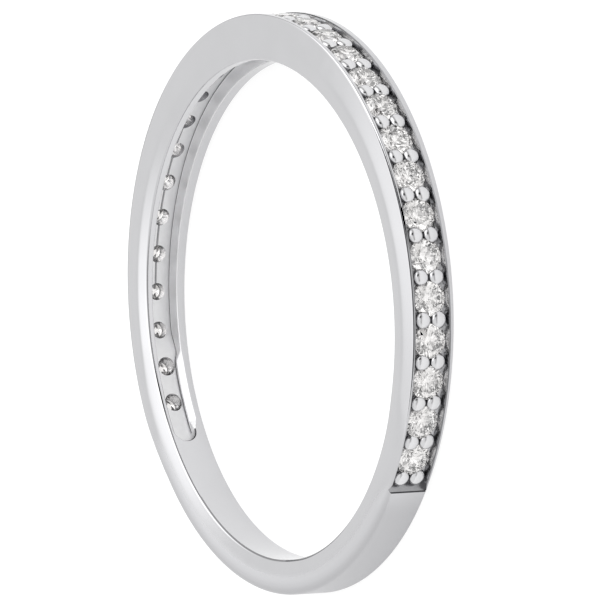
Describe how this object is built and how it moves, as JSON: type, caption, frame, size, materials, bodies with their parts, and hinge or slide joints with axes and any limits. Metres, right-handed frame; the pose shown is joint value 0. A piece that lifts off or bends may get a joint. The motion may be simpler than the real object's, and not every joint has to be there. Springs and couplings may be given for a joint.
{
  "type": "micro-pave wedding band",
  "caption": "Slim ring with a bead-set channel of small round stones along most of its outside, open-backed inside, with a plain polished shank. It lies on its side.",
  "frame": {"origin": "centre of the outer circle on the flat face that the ring lies on", "axes": "+Z along the bore, up from the face that the ring lies on; -Y towards the middle stone of the setting, +Y towards the plain back of the shank"},
  "size_m": [0.02, 0.02, 0.0018],
  "materials": {
    "white_gold": "polished white gold with a rhodium plate",
    "diamond": "clear faceted stone"
  },
  "bodies": {
    "root": {"band": "white_gold", "stone_01": "diamond", "stone_02": "diamond", "stone_03": "diamond", "stone_04": "diamond", "stone_05": "diamond", "stone_06": "diamond", "stone_07": "diamond", "stone_08": "diamond", "stone_09": "diamond", "stone_10": "diamond", "stone_11": "diamond", "stone_12": "diamond", "stone_13": "diamond", "stone_14": "diamond", "stone_15": "diamond", "stone_16": "diamond", "stone_17": "diamond", "stone_18": "diamond", "stone_19": "diamond", "stone_20": "diamond", "stone_21": "diamond", "stone_22": "diamond", "stone_23": "diamond", "stone_24": "diamond", "stone_25": "diamond", "stone_26": "diamond", "stone_27": "diamond", "stone_28": "diamond", "stone_29": "diamond"}
  },
  "joints": []
}
